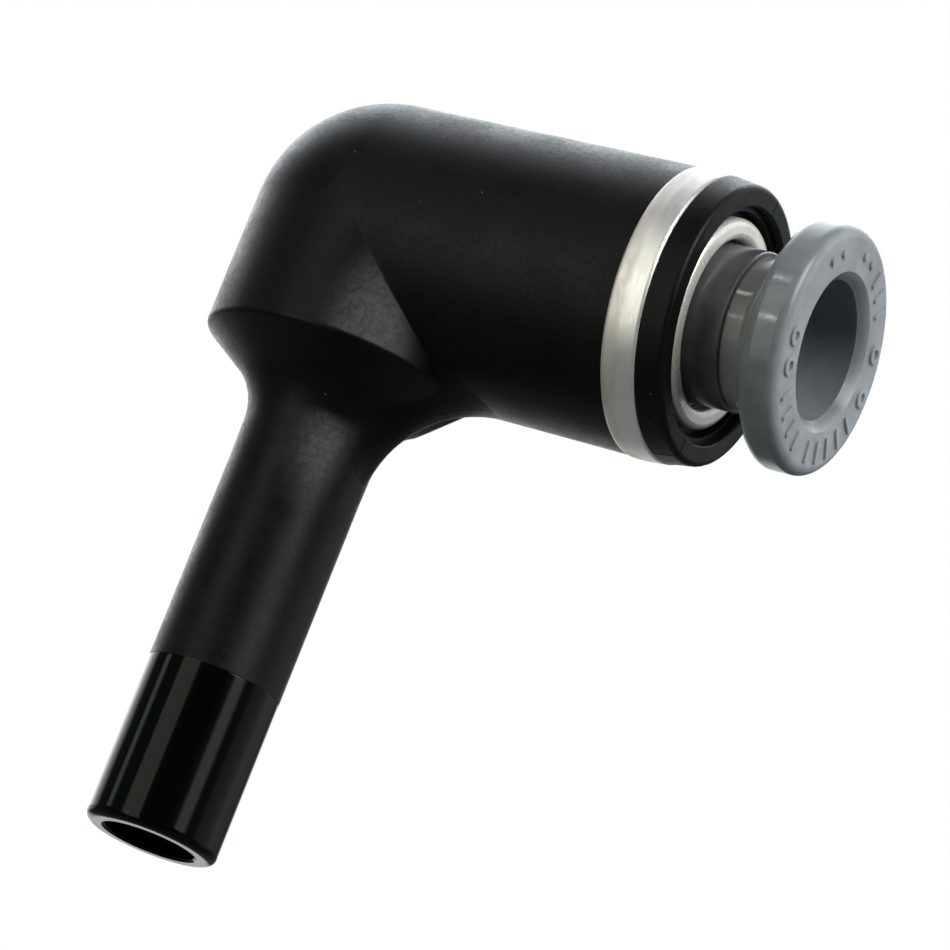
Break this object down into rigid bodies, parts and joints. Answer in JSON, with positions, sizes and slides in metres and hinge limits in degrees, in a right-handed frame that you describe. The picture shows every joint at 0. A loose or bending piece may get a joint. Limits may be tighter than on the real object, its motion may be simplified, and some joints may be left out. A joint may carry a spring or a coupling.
{
  "type": "push to connect fitting",
  "caption": "Plug-in elbow for 6.35 mm pneumatic tube: black moulded body with a plug stem, metal band, split mouth ring, claws, seal and a grey release button.",
  "frame": {"origin": "centre of the plug stem's end face", "axes": "+X along the tube port's axis, out of the mouth; +Y along the plug stem's axis, from its end to the corner; +Z square to the plane of the two axes"},
  "size_m": [0.0296, 0.0371, 0.0136],
  "materials": {
    "black_nylon": "fine moulded grain, glossy on the last part of the stem",
    "nickel_plate": "satin nickel plate, brighter towards its front edge",
    "polished_steel": "polished",
    "smoky_acetal": "smoky grey, slightly translucent, satin",
    "spring_steel": "stamped spring steel",
    "white_acetal": "plain moulded",
    "nitrile": "smooth moulded rubber"
  },
  "bodies": {
    "fitting": {"elbow_body": "black_nylon", "outer_band": "nickel_plate", "mouth_half_upper": "black_nylon", "mouth_half_lower": "black_nylon", "guide_ring": "polished_steel", "claw_support": "white_acetal", "backup_washer": "white_acetal", "tube_seal": "nitrile"},
    "gripper": {"grip_ring": "spring_steel"},
    "button": {"release_button": "smoky_acetal"}
  },
  "joints": [
    {"name": "grip_swivel", "type": "hinge", "parent": "fitting", "child": "gripper", "pos_m": [0.0128, 0.0303, 0], "axis": [1, 0, 0], "continuous": true},
    {"name": "button_press", "type": "slide", "parent": "gripper", "child": "button", "axis": [1, 0, 0], "range_m": [-0.0024, 0]}
  ]
}
